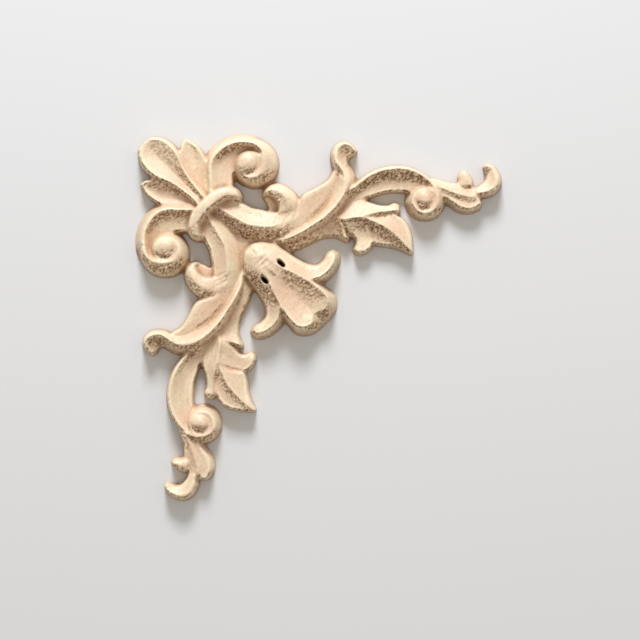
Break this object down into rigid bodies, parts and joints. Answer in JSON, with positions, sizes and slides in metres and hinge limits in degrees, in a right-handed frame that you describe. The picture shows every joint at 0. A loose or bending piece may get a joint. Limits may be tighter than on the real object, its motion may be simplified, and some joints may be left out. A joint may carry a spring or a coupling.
{
  "type": "corner onlay",
  "caption": "Carved wooden corner applique with a palmette, twin volutes, leafy scrolling arms and a bell flower, flat on the back for gluing.",
  "frame": {"origin": "centre of the onlay's bounding square, on the flat back", "axes": "+Z out of the carved face, +X along the arm that runs out from the outer corner, +Y up from the other arm's tip to the outer corner"},
  "size_m": [0.085, 0.085, 0.008],
  "materials": {
    "raw_wood": "raw, unsanded carved wood"
  },
  "bodies": {
    "root": {"corner_onlay": "raw_wood"}
  },
  "joints": []
}
